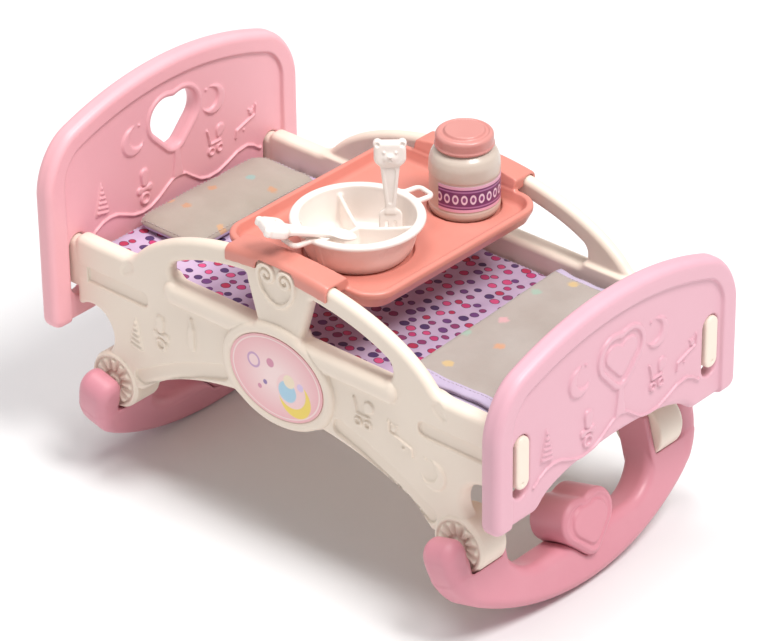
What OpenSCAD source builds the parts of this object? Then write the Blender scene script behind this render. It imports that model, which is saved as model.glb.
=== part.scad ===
// Doll's rocking bed: two end boards hook over the tongues of two arched side panels,
// and the panels' round feet sit in two splayed rockers. A tray clips over the rails.
// X runs from the head (-X) to the foot (+X), Z is up and the floor is at z = 0.

/* [End boards] */
// Length over the two end boards
bed_l = 494; // [480:1:520]
// Width of an end board
board_w = 300; // [290:1:312]
// Thickness of an end board
board_t = 18; // [14:1:20]
// Height of the headboard from its lower edge to its crown
head_h = 196.5; // [180:0.5:210]
// Height of the footboard from its lower edge to its crown
foot_h = 154; // [145:0.5:170]
// Height of the boards' lower edge above the floor
board_z = 126.5; // [120:0.5:132]
// Width of the heart window in the headboard
window_w = 54; // [40:1:60]

/* [Side panels] */
// Distance from the middle of the bed to a panel's outer face
panel_y = 125; // [122:0.5:128]
// Thickness of a side panel
panel_t = 16; // [14:0.5:17]
// Thickness of the arched rail
rail_t = 12; // [9:0.5:14]
// Height of the flat top of a panel above the floor
panel_top = 209.5; // [205:0.5:214]
// Height of the crown of the rail above the floor
rail_top = 267.5; // [262:0.5:274]
// How far the ledge and the badge rim stand proud of a panel
relief_t = 4; // [2:0.5:5]

/* [Rockers] */
// Radius of the running edge
rocker_r = 250; // [230:1:280]
// Depth of the running edge below the feet's axis
rocker_drop = 85.5; // [84:0.5:88]
// Thickness of a rocker
rocker_t = 32; // [26:1:36]
// Outward splay of a rocker, in degrees
rocker_splay = 15; // [8:1:18]
// Radius of a panel's round foot
foot_r = 25.6; // [23:0.1:26]
// Distance from the middle of the bed to a foot's axis
foot_x = 188; // [184:1:190]

/* [Bedding] */
// Thickness of the mattress
mattress_t = 10; // [6:1:14]
// Thickness of the plate under the mattress
base_t = 5; // [4:0.5:6]
// Size of the pillow along the bed
pillow_l = 78; // [70:1:90]
// Size of the pillow across the bed
pillow_w = 160; // [140:1:170]
// Thickness of the pillow
pillow_t = 18; // [12:1:24]
// Size of the folded blanket along the bed
blanket_l = 128; // [100:1:130]
// Size of the folded blanket across the bed
blanket_w = 208; // [190:1:212]
// Thickness of the folded blanket
blanket_t = 16; // [10:1:20]

/* [Tray] */
// Size of the tray along the bed
tray_l = 168; // [150:1:172]
// Size of the tray's basin across the bed
tray_w = 208; // [200:1:212]
// Height of the tray's rim above the floor
tray_rim = 257.5; // [254:0.5:262]
// Length of the saddles that clip over the rails
saddle_l = 108; // [80:1:120]

/* [Tableware] */
// Radius of the bowl's rim
bowl_r = 54.7; // [48:0.1:56]
// Height of the bowl
bowl_h = 34; // [30:0.5:40]
// Radius of the jar
jar_r = 29; // [25:0.5:30]
// Height of the jar without its lid
jar_h = 58; // [50:0.5:64]
// Length of the spoon and the fork
cutlery_l = 84; // [76:1:88]

/* [Hidden] */
$fn = 64;

pink = "#ef9fb4";
cream = "#efe6d8";
coral = "#f0958a";
gap = 0.2;
board_in = bed_l / 2 - board_t;
panel_in = panel_y - panel_t;

// Crown and corners of an end board
crown_r = 330;
board_corner_r = 34;
board_foot_r = 12;
board_arch_a = 93;
board_arch_b = 24;
window_z = 272.5;
window_h = 47;

// Slots in the boards, and the panel tongues that they hook over
slot_y = panel_y - panel_t / 2;
slot_w = panel_t + 3;
slot_low = 149.5;
slot_top = 206;
tongue_low = 158.5;
tongue_w = panel_t - 1;
tongue_short = 1;

// Side panel: rail ellipse, opening ellipse and lower arch, each as [half width, rise]
rail_size = [172, 83];
opening_size = [145, 62];
opening_top = rail_top - 18;
arch_size = [172, 78];
arch_top = 134;
ledge_top = 206;
ledge_h = 17;
ledge_half = 124;
opening_tip = 119;
opening_tip_r = 8;
post_half = 23;
end_low = 144;
bite_x = 212;
bite_z = 126;
bite_r = 22.5;
foot_in = 97;
badge_z = 165;
badge_size = [50, 37];
badge_rim = 9.5;
badge_t = 1.2;
badge_sunk = 1.5;
boss_z = 248;
boss_r = 18;
boss_t = 6;
shelf_depth = 8;
shelf_t = 6;
shelf_half = 200;

// Rockers
axis_z = rocker_drop * cos(rocker_splay) + rocker_t / 2 * sin(rocker_splay);
rocker_end = 155.5;
flank_r = 60;
hook_r = 14.3;
crescent_half = 91;
crescent_depth = 46;
crescent_corner = 36;
notch_in = foot_in - gap;
notch_out = panel_y + 1.5;
wall_top = 14;
wall_h = 54;
wall_w = 20;
heart_w = 62;
heart_h = 53;
heart_low = 64.5;
heart_proud = 8;

// Bedding
mattress_top = 188.5;
mattress_clear = 2;
base_top = mattress_top - mattress_t;
pillow_y = 17;

// Tray
tray_wall = 2.5;
tray_floor = 248;
recess_floor = 244.5;
tray_corner = 24;
tray_slope = 5;
recess_clear = 9;
saddle_t = 2.5;
saddle_low = 252;
notch_half = 21;

// Tableware stands in the tray's two recesses
bowl_at = [8, -38];
jar_at = [27, 70];
ware_z = recess_floor + gap / 2;
bowl_turn = 78;
bowl_base_r = 36;
bowl_wall = 2.5;
bowl_flange = 5;
divider_t = 3;
divider_h = 24;
handle_at = 58;
handle_r = 11.5;
handle_hole = 6.5;
handle_t = 4;
jar_wall = 2;
neck_r = 21.5;
neck_h = 8;
lid_r = 25;
lid_h = 15;
label_low = 12;
label_h = 23;
label_t = 0.4;
label_turn = 280;
label_start = -95;
head_w = 26;
head_l = 22;
head_t = 11;
shaft_w = 9;
shaft_t = 4;
scoop_w = 20;
scoop_l = 24;
spoon_from = [-14.5, -127.5, 295.4];
spoon_turn = 63;
spoon_dip = 18.5;
fork_from = [13.1, -4.6, 334.8];
fork_turn = -48;
fork_lean = 86;

// Points of an arc from angle a to angle b
function arc(c, r, a, b, n = 10) = [for (i = [0:n]) c + r * [cos(a + (b - a) * i / n), sin(a + (b - a) * i / n)]];
// Points of half an ellipse from +X over the top to -X
function half_ellipse(c, s, n = 48) = [for (i = [0:n]) c + [s[0] * cos(180 * i / n), s[1] * sin(180 * i / n)]];
function ellipse(c, s, n = 64) = [for (i = [0:n - 1]) c + [s[0] * cos(360 * i / n), s[1] * sin(360 * i / n)]];
function rise_at(x, s) = s[1] * sqrt(1 - pow(x / s[0], 2));

// A flat drawing (across, up) made solid along X from x0
module along_x(x0, t) {
    translate([x0, 0, 0]) rotate([90, 0, 90]) linear_extrude(t) children();
}

// A flat drawing (along, up) made solid along Y from y0
module along_y(y0, t) {
    translate([0, y0 + t, 0]) rotate([90, 0, 0]) linear_extrude(t) children();
}

// A heart of width w and height h with its lobes' tops at the origin's height
module heart(w, h) {
    r = 0.27 * w;
    c = w / 2 - r;
    k = h - r;
    d = sqrt(c * c + k * k);
    a = atan2(-k, -c) + acos(r / d);
    touch = [c + r * cos(a), -r + r * sin(a)];
    for (s = [-1, 1]) translate([s * c, -r]) circle(r);
    polygon([[0, -h], touch, [c, -r], [-c, -r], [-touch[0], touch[1]]]);
}

// A rectangle with round corners, centred
module round_rect(l, w, r) {
    square([l - 2 * r, w], center = true);
    square([l, w - 2 * r], center = true);
    for (x = [-1, 1], y = [-1, 1]) translate([x * (l / 2 - r), y * (w / 2 - r)]) circle(r);
}

// ---- End boards ----

module board_drawing(h) {
    half = board_w / 2;
    in_x = half - board_corner_r;
    reach = crown_r - board_corner_r;
    corner_z = board_z + h - crown_r + sqrt(reach * reach - in_x * in_x);
    crown_a = atan2(sqrt(reach * reach - in_x * in_x), in_x);
    low_z = board_z + board_foot_r;
    difference() {
        polygon(concat(
            arc([half - board_foot_r, low_z], board_foot_r, -90, 0, 6),
            arc([in_x, corner_z], board_corner_r, 0, crown_a, 8),
            arc([0, board_z + h - crown_r], crown_r, crown_a, 180 - crown_a, 16),
            arc([-in_x, corner_z], board_corner_r, 180 - crown_a, 180, 8),
            arc([board_foot_r - half, low_z], board_foot_r, 180, 270, 6)));
        polygon(half_ellipse([0, board_z], [board_arch_a, board_arch_b], 32));
        translate([0, board_z - 1]) square([2 * board_arch_a, 2], center = true);
        for (s = [-1, 1]) translate([s * slot_y, 0]) {
            translate([0, (slot_low + slot_top) / 2]) square([slot_w, slot_top - slot_low - slot_w], center = true);
            translate([0, slot_low + slot_w / 2]) circle(slot_w / 2);
            translate([0, slot_top - slot_w / 2]) circle(slot_w / 2);
        }
    }
}

module headboard() {
    color(pink) along_x(-bed_l / 2, board_t) difference() {
        board_drawing(head_h);
        translate([0, window_z + window_h / 2 - 8]) heart(window_w, window_h);
    }
}

module footboard() {
    color(pink) along_x(board_in, board_t) board_drawing(foot_h);
}

// ---- Side panels ----

// Half of the pair of openings under the rail, on the +X side of the post
module rail_opening() {
    c = [0, opening_top - opening_size[1]];
    tip_top = c[1] + rise_at(opening_tip - 3, opening_size);
    curve = [for (x = [post_half + 14:8:opening_tip - 5]) [x, c[1] + rise_at(x, opening_size)]];
    polygon(concat(
        [[post_half + 3, ledge_top], [opening_tip - opening_tip_r, ledge_top]],
        arc([opening_tip - opening_tip_r, ledge_top + opening_tip_r], opening_tip_r, -90, 0, 6),
        [[opening_tip, tip_top - 4]],
        [for (i = [len(curve) - 1:-1:0]) curve[i]],
        [[post_half + 9, c[1] + rise_at(post_half + 9, opening_size) - 3],
        [post_half + 6, ledge_top + 30], [post_half + 1, ledge_top + 16], [post_half, ledge_top + 3]]));
}

module panel_drawing() {
    top_z = rail_top - rail_size[1];
    difference() {
        union() {
            translate([-board_in, axis_z]) square([2 * board_in, panel_top - axis_z]);
            intersection() {
                polygon(half_ellipse([0, top_z], rail_size));
                translate([-board_in, panel_top - 1]) square([2 * board_in, 100]);
            }
        }
        polygon(half_ellipse([0, arch_top - arch_size[1]], arch_size));
        for (s = [-1, 1]) scale([s, 1]) {
            translate([bite_x, bite_z]) circle(bite_r);
            translate([199, 0]) square([60, end_low]);
            rail_opening();
        }
    }
}

// The ledge below the openings, as a band with round ends
module ledge_drawing() {
    translate([0, ledge_top - ledge_h / 2]) square([2 * ledge_half - ledge_h, ledge_h], center = true);
    for (s = [-1, 1]) translate([s * (ledge_half - ledge_h / 2), ledge_top - ledge_h / 2]) circle(ledge_h / 2);
}

module tongue_drawing() {
    r = tongue_w / 2;
    top_z = slot_top - 0.4;
    translate([slot_y, top_z - r]) circle(r);
    translate([slot_y - r, tongue_low]) square([tongue_w, top_z - r - tongue_low]);
}

module side_panel() {
    difference() {
        union() {
            difference() {
                along_y(panel_in, panel_t) panel_drawing();
                translate([-board_in, panel_in - 1, panel_top]) cube([2 * board_in, panel_t - rail_t + 1, 100]);
            }
            along_y(panel_y - 1, relief_t + 1) difference() {
                union() {
                    ledge_drawing();
                    polygon(ellipse([0, badge_z], badge_size + [badge_rim, badge_rim]));
                }
                for (s = [-1, 1]) scale([s, 1]) rail_opening();
            }
            translate([0, panel_y + boss_t, boss_z]) rotate([90, 0, 0]) cylinder(r = boss_r, h = boss_t + 1);
            for (s = [-1, 1]) translate([s * foot_x, panel_y, axis_z]) rotate([90, 0, 0])
                cylinder(r = foot_r, h = panel_y - foot_in);
            translate([-shelf_half, panel_in - shelf_depth, base_top - base_t - shelf_t])
                cube([2 * shelf_half, shelf_depth + 1, shelf_t]);
            along_x(board_in - 1, board_t - tongue_short + 1) tongue_drawing();
            along_x(-bed_l / 2 + tongue_short, board_t - tongue_short + 1) tongue_drawing();
        }
        along_y(panel_y + relief_t - badge_sunk, badge_sunk + 1) polygon(ellipse([0, badge_z], badge_size));
    }
}

module badge() {
    along_y(panel_y + relief_t - badge_sunk, badge_t)
        polygon(ellipse([0, badge_z], badge_size - [gap, gap]));
}

module side_panel_left() {
    color(cream) mirror([0, 1, 0]) side_panel();
}

module side_panel_right() {
    color(cream) side_panel();
}

module badge_left() {
    color("#f6c9cf") mirror([0, 1, 0]) badge();
}

module badge_right() {
    color("#f6c9cf") badge();
}

// ---- Rockers ----

// Puts a shape drawn in a rocker's own plane, with the feet's axis at its origin, in place
module at_foot() {
    translate([foot_x, 0, axis_z]) rotate([0, -rocker_splay, 0]) children();
}

// The running arc runs smoothly into the smaller arcs of the two flanks and ends in round hooks
module rocker_drawing() {
    centre_z = rocker_r - rocker_drop;
    flank_y = rocker_end - flank_r;
    flank_z = centre_z - sqrt(pow(rocker_r - flank_r, 2) - flank_y * flank_y);
    reach = 2 * [flank_y, flank_z - centre_z];
    difference() {
        union() {
            intersection() {
                translate([0, centre_z]) circle(rocker_r, $fn = 192);
                translate([-200, flank_z - 120]) square([400, 120]);
                union() {
                    polygon([[0, centre_z], [0, centre_z] + reach, [0, centre_z] + [-reach[0], reach[1]]]);
                    for (s = [-1, 1]) translate([s * flank_y, flank_z]) circle(flank_r, $fn = 96);
                }
            }
            for (s = [-1, 1]) {
                translate([s * (rocker_end - hook_r), flank_z]) circle(hook_r);
                translate([s * notch_in, wall_top - wall_h / 2]) square([wall_w, wall_h], center = true);
            }
        }
        translate([0, 50 - crescent_depth / 2]) round_rect(2 * crescent_half, crescent_depth + 100, crescent_corner);
    }
}

module heart_drawing(grow) {
    translate([0, heart_h - heart_low + grow]) heart(heart_w + 2 * grow, heart_h + 2 * grow);
}

module rocker() {
    at_foot() difference() {
        along_x(-rocker_t / 2, rocker_t) rocker_drawing();
        for (s = [-1, 1]) scale([1, s, 1]) {
            translate([0, notch_in, 0]) rotate([-90, 0, 0])
                cylinder(r = foot_r + gap, h = notch_out - notch_in);
            translate([-50, notch_in, 0]) cube([100, notch_out - notch_in, 40]);
        }
        along_x(-50, 100) heart_drawing(gap);
    }
}

module heart_block() {
    at_foot() along_x(-rocker_t / 2, rocker_t + heart_proud) heart_drawing(0);
}

module rocker_head() {
    color(pink) mirror([1, 0, 0]) rocker();
}

module rocker_foot() {
    color(pink) rocker();
}

module heart_block_head() {
    color(pink) mirror([1, 0, 0]) heart_block();
}

module heart_block_foot() {
    color(pink) heart_block();
}

// ---- Bedding ----

// A soft slab with its lowest corner at p
module slab(p, s, r) {
    translate(p + [s[0] / 2, s[1] / 2, 0]) linear_extrude(s[2]) round_rect(s[0], s[1], r);
}

module bed_base() {
    half_l = board_in - 2;
    half_w = panel_in - 2;
    color(cream) slab([-half_l, -half_w, base_top - base_t], [2 * half_l, 2 * half_w, base_t], 6);
}

module mattress() {
    half_l = board_in - mattress_clear;
    half_w = panel_in - mattress_clear;
    color("#dcc3dc") slab([-half_l, -half_w, base_top + gap / 2], [2 * half_l, 2 * half_w, mattress_t - gap / 2], 10);
}

module pillow() {
    color("#d8cdc0") slab([1 - board_in, pillow_y - pillow_w / 2, mattress_top + gap / 2],
        [pillow_l, pillow_w, pillow_t], 12);
}

module blanket() {
    color("#dcd2c4") slab([board_in - 1 - blanket_l, -blanket_w / 2, mattress_top + gap / 2],
        [blanket_l, blanket_w, blanket_t], 6);
}

// ---- Tray ----

module tray_plan(grow) {
    round_rect(tray_l + 2 * grow, tray_w + 2 * grow, tray_corner + grow);
}

// The rail's drawing, thickened all round, for the inside and the outside of a saddle
module saddle_drawing(grow) {
    top_z = rail_top - rail_size[1];
    polygon(half_ellipse([0, top_z], rail_size + [grow, grow]));
}

module saddle() {
    out_y = panel_y + gap + saddle_t;
    difference() {
        intersection() {
            along_y(tray_w / 2 - tray_wall, out_y - tray_w / 2 + tray_wall) saddle_drawing(saddle_t + gap);
            translate([-saddle_l / 2, 0, saddle_low]) cube([saddle_l, 200, 100]);
        }
        along_y(panel_y - rail_t - gap, rail_t + 2 * gap) saddle_drawing(gap);
        translate([-saddle_l, tray_w / 2 - tray_wall - 1, saddle_low - 1])
            cube([2 * saddle_l, panel_y - rail_t - gap - tray_w / 2 + 1, tray_rim - saddle_low - 1]);
        translate([-notch_half, panel_y - 1, saddle_low - 1])
            cube([2 * notch_half, saddle_t + 2, boss_z + boss_r + gap - saddle_low + 1]);
    }
}

module tray() {
    under = recess_floor - tray_wall;
    color(coral) difference() {
        union() {
            translate([0, 0, under]) linear_extrude(tray_rim - under) tray_plan(0);
            for (s = [-1, 1]) scale([1, s, 1]) saddle();
        }
        translate([0, 0, tray_floor]) linear_extrude(100) tray_plan(-tray_wall - tray_slope);
        translate([bowl_at[0], bowl_at[1], recess_floor]) cylinder(r = bowl_base_r + recess_clear, h = 20);
        translate([jar_at[0], jar_at[1], recess_floor]) cylinder(r = jar_r + 1, h = 20);
    }
}

// ---- Tableware ----

module bowl() {
    lip_r = bowl_r - bowl_flange;
    color(cream) translate([bowl_at[0], bowl_at[1], ware_z]) difference() {
        union() {
            difference() {
                rotate_extrude() polygon([[0, 0], [bowl_base_r, 0], [bowl_base_r + 7, 3], [lip_r - 1, bowl_h - 6],
                    [bowl_r, bowl_h - 5], [bowl_r, bowl_h], [0, bowl_h]]);
                rotate_extrude() polygon([[0, bowl_wall], [bowl_base_r - 1, bowl_wall],
                    [bowl_base_r + 5, 6], [lip_r - bowl_wall, bowl_h], [lip_r - bowl_wall, bowl_h + 1], [0, bowl_h + 1]]);
            }
            intersection() {
                cylinder(r1 = bowl_base_r + 2, r2 = lip_r + 2, h = bowl_h);
                for (a = [30, 150, 270]) rotate([0, 0, a]) translate([0, -divider_t / 2, 1])
                    cube([lip_r, divider_t, divider_h]);
            }
            for (a = [0, 180]) rotate([0, 0, bowl_turn + a]) translate([handle_at, 0, bowl_h - handle_t])
                cylinder(r = handle_r, h = handle_t);
        }
        for (a = [0, 180]) rotate([0, 0, bowl_turn + a]) translate([handle_at + 2, 0, bowl_h - handle_t - 1])
            cylinder(r = handle_hole, h = handle_t + 2);
    }
}

// Spoon and fork share a flat bear-head grip and a tapered shaft, drawn along +X from the head
module grip_drawing() {
    translate([head_l / 2, 0]) round_rect(head_l, head_w, 8);
    polygon([[head_l - 2, -shaft_w / 2], [cutlery_l - scoop_l + 2, -shaft_w / 3],
        [cutlery_l - scoop_l + 2, shaft_w / 3], [head_l - 2, shaft_w / 2]]);
    for (s = [-1, 1]) translate([4, s * (head_w / 2 - 2)]) circle(4);
}

module scoop_drawing() {
    translate([cutlery_l - scoop_l / 2, 0]) round_rect(scoop_l, scoop_w, 9);
}

module head_solid() {
    translate([0, 0, shaft_t / 2 - head_t / 2]) linear_extrude(head_t) intersection() {
        grip_drawing();
        translate([-10, -30]) square([head_l + 10, 60]);
    }
}

module spoon() {
    color(cream) translate(spoon_from) rotate([0, spoon_dip, spoon_turn]) {
        head_solid();
        linear_extrude(shaft_t) {
            grip_drawing();
            scoop_drawing();
        }
    }
}

module fork() {
    color(cream) translate(fork_from) rotate([0, fork_lean, fork_turn]) {
        head_solid();
        linear_extrude(shaft_t) difference() {
            union() {
                grip_drawing();
                scoop_drawing();
            }
            for (s = [-1, 1]) translate([cutlery_l - 8, s * 3.3]) square([18, 2.4], center = true);
        }
    }
}

module at_jar() {
    translate([jar_at[0], jar_at[1], ware_z]) children();
}

module jar_body() {
    in_r = neck_r - jar_wall;
    color(cream) at_jar() difference() {
        rotate_extrude() polygon([[0, 0], [jar_r - 4, 0], [jar_r - 1, 3], [jar_r, 8], [jar_r, jar_h - 10],
            [jar_r - 2, jar_h - 4], [neck_r + 1, jar_h], [neck_r, jar_h], [neck_r, jar_h + neck_h], [0, jar_h + neck_h]]);
        translate([0, 0, jar_wall]) cylinder(r = jar_r - 4, h = jar_h - 8);
        translate([0, 0, jar_wall]) cylinder(r = in_r, h = jar_h + neck_h);
    }
}

module jar_lid() {
    color(coral) at_jar() translate([0, 0, jar_h + gap]) difference() {
        rotate_extrude() polygon([[0, 0], [lid_r, 0], [lid_r, lid_h - 5], [lid_r - 2, lid_h - 2],
            [lid_r - 5, lid_h], [0, lid_h]]);
        translate([0, 0, -1]) cylinder(r = neck_r + 2 * gap, h = neck_h + 2);
        translate([0, 0, lid_h - 1]) rotate_extrude() translate([17, 0]) square([1.5, 3]);
    }
}

module jar_label() {
    color("#9a5c9a") at_jar() translate([0, 0, label_low]) rotate([0, 0, label_start])
        rotate_extrude(angle = label_turn) translate([jar_r + 0.05, 0]) square([label_t, label_h]);
}

headboard();
footboard();
side_panel_left();
side_panel_right();
badge_left();
badge_right();
rocker_head();
rocker_foot();
heart_block_head();
heart_block_foot();
bed_base();
mattress();
pillow();
blanket();
tray();
bowl();
spoon();
fork();
jar_body();
jar_lid();
jar_label();
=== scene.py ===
import math

import bpy
import numpy as np
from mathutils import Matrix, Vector


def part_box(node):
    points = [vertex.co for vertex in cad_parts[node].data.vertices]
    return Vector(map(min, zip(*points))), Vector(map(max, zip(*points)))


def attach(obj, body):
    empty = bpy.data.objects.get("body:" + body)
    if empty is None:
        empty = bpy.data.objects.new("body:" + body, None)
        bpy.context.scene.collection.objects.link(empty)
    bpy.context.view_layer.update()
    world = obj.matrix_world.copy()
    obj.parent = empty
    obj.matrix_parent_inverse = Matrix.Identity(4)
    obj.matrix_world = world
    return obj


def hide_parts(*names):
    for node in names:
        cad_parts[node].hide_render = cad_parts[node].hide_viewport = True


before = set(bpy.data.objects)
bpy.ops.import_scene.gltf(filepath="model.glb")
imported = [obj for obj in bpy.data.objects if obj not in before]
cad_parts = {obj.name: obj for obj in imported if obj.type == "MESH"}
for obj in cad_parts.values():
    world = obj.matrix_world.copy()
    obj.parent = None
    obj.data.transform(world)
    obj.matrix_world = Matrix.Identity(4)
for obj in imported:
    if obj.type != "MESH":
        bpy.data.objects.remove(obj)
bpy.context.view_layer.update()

MM = 0.001


# ---- Camera, floor and light ----
# The bed stands on a plain pale floor under soft studio light. The camera looks down on the
# foot end from the near side with a long lens.
scene = bpy.context.scene
AZIMUTH, ELEVATION, ROLL = (math.radians(a) for a in (41.86, 30.84, -0.71))
back = Vector((math.sin(AZIMUTH) * math.cos(ELEVATION), -math.cos(AZIMUTH) * math.cos(ELEVATION),
               math.sin(ELEVATION)))
level = Vector((math.cos(AZIMUTH), math.sin(AZIMUTH), 0))
upward = back.cross(level)
right = math.cos(ROLL) * level + math.sin(ROLL) * upward
up = math.cos(ROLL) * upward - math.sin(ROLL) * level
camera_data = bpy.data.cameras.new("camera")
camera_data.sensor_width = 36
camera_data.lens = 188.47
camera_data.shift_y = -0.0056
camera_data.clip_end = 30
camera = bpy.data.objects.new("camera", camera_data)
scene.collection.objects.link(camera)
place = (2.84 * right + 93.44 * up + 3348.14 * back + Vector((-2.65, 0, 54))) * MM
camera.matrix_world = (
    (right.x, right.y, right.z, 0), (up.x, up.y, up.z, 0), (back.x, back.y, back.z, 0),
    (place.x, place.y, place.z, 1))
scene.camera = camera
scene.view_settings.view_transform = "Standard"


def area_light(name, at, aim, size, power, colour=(1, 1, 1)):
    light = bpy.data.lights.new(name, "AREA")
    light.shape, light.size, light.energy, light.color = "DISK", size, power, colour
    lamp = bpy.data.objects.new(name, light)
    lamp.location = at
    lamp.rotation_euler = (Vector(aim) - Vector(at)).to_track_quat("-Z", "Y").to_euler()
    scene.collection.objects.link(lamp)


area_light("key", (2.4, 0.1, 4.5), (0, 0, 0.15), 2.0, 200, (1, 0.99, 0.98))
area_light("top", (-0.5, -0.3, 4.8), (0, 0, 0.1), 2.2, 105)
world = bpy.data.worlds.new("studio")
scene.world = world
world.use_nodes = True
world.node_tree.nodes["Background"].inputs["Color"].default_value = (1, 1, 1, 1)
world.node_tree.nodes["Background"].inputs["Strength"].default_value = 0.42

floor_half = 6.0
floor_mesh = bpy.data.meshes.new("floor")
floor_mesh.from_pydata([(-floor_half, -floor_half, 0), (floor_half, -floor_half, 0),
                        (floor_half, floor_half, 0), (-floor_half, floor_half, 0)], [], [(0, 1, 2, 3)])
floor = bpy.data.objects.new("floor", floor_mesh)
scene.collection.objects.link(floor)


def colour(code):
    """An sRGB colour such as "f0a0b0" as the linear values that a socket takes."""
    parts = [int(code[i:i + 2], 16) / 255 for i in (0, 2, 4)]
    return tuple(c / 12.92 if c <= 0.04045 else ((c + 0.055) / 1.055) ** 2.4 for c in parts) + (1.0,)


class Nodes:
    """Builds one material's node tree with short calls."""

    def __init__(self, name):
        self.material = bpy.data.materials.new(name)
        self.material.use_nodes = True
        self.tree = self.material.node_tree
        self.shader = self.tree.nodes["Principled BSDF"]
        self.place = self.add("ShaderNodeTexCoord").outputs["Object"]

    def add(self, kind, **values):
        node = self.tree.nodes.new(kind)
        for key, value in values.items():
            if hasattr(node, key):
                setattr(node, key, value)
        return node

    def link(self, value, socket):
        if isinstance(value, bpy.types.NodeSocket):
            self.tree.links.new(value, socket)
        else:
            socket.default_value = value

    def math(self, operation, a, b=0.0, kind="ShaderNodeMath"):
        node = self.add(kind, operation=operation)
        self.link(a, node.inputs[0])
        self.link(b, node.inputs[1])
        return node.outputs[0]

    def vector(self, operation, a, b):
        return self.math(operation, a, b, "ShaderNodeVectorMath")

    def length(self, a, b):
        """The length of a flat vector."""
        return self.math("SQRT", self.math("ADD", self.math("POWER", a, 2), self.math("POWER", b, 2)))

    def split(self, place):
        node = self.add("ShaderNodeSeparateXYZ")
        self.link(place, node.inputs[0])
        return tuple(node.outputs)

    def noise(self, scale, detail=2.0, place=None, roughness=0.5):
        node = self.add("ShaderNodeTexNoise")
        self.link(self.place if place is None else place, node.inputs["Vector"])
        node.inputs["Scale"].default_value = scale
        node.inputs["Detail"].default_value = detail
        node.inputs["Roughness"].default_value = roughness
        return node

    def ramp(self, value, low, high, out_low=0.0, out_high=1.0):
        node = self.add("ShaderNodeMapRange", clamp=True)
        for socket, v in zip(node.inputs[:5], (value, low, high, out_low, out_high)):
            self.link(v, socket)
        return node.outputs[0]

    def mix(self, share, a, b):
        node = self.add("ShaderNodeMix", data_type="RGBA")
        self.link(share, node.inputs[0])
        self.link(a, node.inputs[6])
        self.link(b, node.inputs[7])
        return node.outputs[2]

    def bump(self, height, distance, strength=1.0, normal=None):
        node = self.add("ShaderNodeBump")
        node.inputs["Strength"].default_value = strength
        node.inputs["Distance"].default_value = distance
        self.link(height, node.inputs["Height"])
        if normal is not None:
            self.link(normal, node.inputs["Normal"])
        return node.outputs["Normal"]

    def set(self, **values):
        for key, value in values.items():
            self.link(value, self.shader.inputs[key.replace("_", " ")])
        return self.material


def painted_floor():
    n = Nodes("floor_paint")
    tone = n.ramp(n.noise(3.0, 3).outputs[0], 0.3, 0.7)
    return n.set(Base_Color=n.mix(tone, colour("ececec"), colour("e9e9ea")), Roughness=0.9)


floor_mesh.materials.append(painted_floor())


# ---- End boards ----
# The headboard and footboard are single blow-moulded shells in satin pink plastic. Each has a
# thick rounded border round a sunk panel with a raised picture, and hooks over two cream
# tongues through its slots. The headboard has a heart-shaped window.
def skin(low, high, cell, field):
    """The surface where field(x, y, z) is zero, in mm, as a smooth closed mesh of small quads.
    The grid starts at an odd share of a cell, so that none of its points lies on a flat face."""
    axes = [np.arange(a - 2.37 * cell, b + 2.7 * cell, cell) for a, b in zip(low, high)]
    grid = np.meshgrid(*axes, indexing="ij", sparse=True)
    shape = tuple(len(a) for a in axes)
    value = np.broadcast_to(field(*grid), shape).astype(np.float32)
    cells = tuple(n - 1 for n in shape)
    inside = value < 0
    rings, points = [], []
    for axis in range(3):
        u, v = (axis + 1) % 3, (axis + 2) % 3
        start = [slice(None)] * 3
        end = [slice(None)] * 3
        start[axis], end[axis] = slice(0, -1), slice(1, None)
        edge = np.argwhere(inside[tuple(start)] != inside[tuple(end)])
        edge = edge[(edge[:, u] > 0) & (edge[:, v] > 0)
                    & (edge[:, u] < cells[u]) & (edge[:, v] < cells[v])]
        other = edge.copy()
        other[:, axis] += 1
        a, b = value[tuple(edge.T)], value[tuple(other.T)]
        point = edge.astype(float)
        point[:, axis] += a / (a - b)
        ring = []
        for step_u, step_v in ((0, 0), (-1, 0), (-1, -1), (0, -1)):
            corner = edge.copy()
            corner[:, u] += step_u
            corner[:, v] += step_v
            ring.append(np.ravel_multi_index(tuple(corner.T), cells))
        ring = np.stack(ring, 1)
        ring[a > 0] = ring[a > 0][:, ::-1]
        rings.append(ring)
        points.append(point)
    rings, points = np.concatenate(rings), np.concatenate(points)
    used, index = np.unique(rings.ravel(), return_inverse=True)
    count = np.bincount(index)
    vertex = np.stack([np.bincount(index, np.repeat(points[:, k], 4)) / count for k in range(3)], 1)
    vertex = vertex * cell + np.array([a[0] for a in axes])
    for _ in range(2):
        here = field(*vertex.T)
        slope = np.stack([field(*(vertex + step).T) - here for step in np.eye(3) * 0.2], 1) / 0.2
        move = -here[:, None] * slope / np.maximum((slope ** 2).sum(1, keepdims=True), 0.2)
        far = np.linalg.norm(move, axis=1, keepdims=True)
        vertex += move * np.minimum(1, 0.5 * cell / np.maximum(far, 1e-9))
    return vertex, index.reshape(-1, 4)


def smooth(mesh):
    mesh.polygons.foreach_set("use_smooth", [True] * len(mesh.polygons))


def evaluated(obj):
    return obj.evaluated_get(bpy.context.evaluated_depsgraph_get())


def piece(name, vertices, faces, material):
    """A Blender object at the origin from vertices in mm."""
    mesh = bpy.data.meshes.new(name)
    mesh.from_pydata((np.asarray(vertices) * MM).tolist(), [], np.asarray(faces).tolist()
                     if isinstance(faces, np.ndarray) else faces)
    mesh.materials.append(material)
    smooth(mesh)
    obj = bpy.data.objects.new(name, mesh)
    scene.collection.objects.link(obj)
    return obj


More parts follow.
